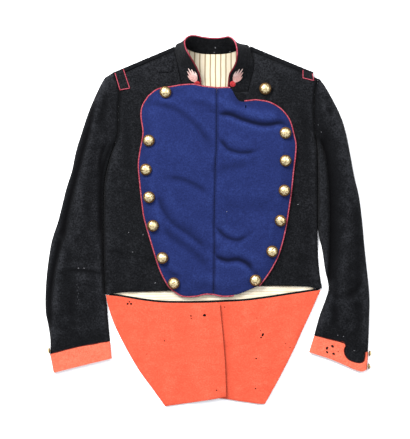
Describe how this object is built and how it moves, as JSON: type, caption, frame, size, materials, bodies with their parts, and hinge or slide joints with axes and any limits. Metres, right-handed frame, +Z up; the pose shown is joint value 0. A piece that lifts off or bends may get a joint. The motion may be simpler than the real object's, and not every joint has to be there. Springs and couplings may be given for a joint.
{
  "type": "firefighter dress coat",
  "caption": "Fire brigade full-dress coat laid flat front up: blue plastron with red piping and domed buttons, stand collar, red cuffs, striped lining, red-lined tails.",
  "frame": {"origin": "middle of the coat's bounding box, on the surface that the coat lies on", "axes": "+X towards the wearer's left sleeve, +Y from the tails towards the collar, +Z up from the surface, through the coat from its back to its front"},
  "size_m": [0.6354, 0.721, 0.0485],
  "materials": {
    "wool": "dark fulled wool",
    "blue_cloth": "blue fulled wool",
    "red_cloth": "orange-red wool facing cloth",
    "piping": "red wool cord",
    "ticking": "striped cotton ticking",
    "gilt": "worn gilt brass",
    "flame": "faded red felt"
  },
  "bodies": {
    "root": {"back": "wool", "waist_edge": "wool", "right_front": "wool", "left_front": "wool", "right_top_sleeve": "wool", "left_top_sleeve": "wool", "right_under_sleeve": "wool", "left_under_sleeve": "wool", "collar": "wool", "tail_right": "wool", "tail_left": "wool", "right_shoulder_loop": "wool", "left_shoulder_loop": "wool", "neck_patch": "wool", "back_lining": "ticking", "waist_lining": "ticking", "tail_lining_right": "red_cloth", "tail_lining_left": "red_cloth", "right_cuff": "red_cloth", "left_cuff": "red_cloth", "plastron_right": "blue_cloth", "plastron_left": "blue_cloth", "collar_piping": "piping", "right_plastron_piping": "piping", "left_plastron_piping": "piping", "right_loop_piping": "piping", "left_loop_piping": "piping", "right_badge_ball": "piping", "left_badge_ball": "piping", "right_badge_flame": "flame", "left_badge_flame": "flame", "right_button_1": "gilt", "right_button_2": "gilt", "right_button_3": "gilt", "right_button_4": "gilt", "right_button_5": "gilt", "right_button_6": "gilt", "right_button_7": "gilt", "left_button_1": "gilt", "left_button_2": "gilt", "left_button_3": "gilt", "left_button_4": "gilt", "left_button_5": "gilt", "left_button_6": "gilt", "left_button_7": "gilt", "right_cuff_button": "gilt", "left_cuff_button_1": "gilt", "left_cuff_button_2": "gilt"}
  },
  "joints": []
}
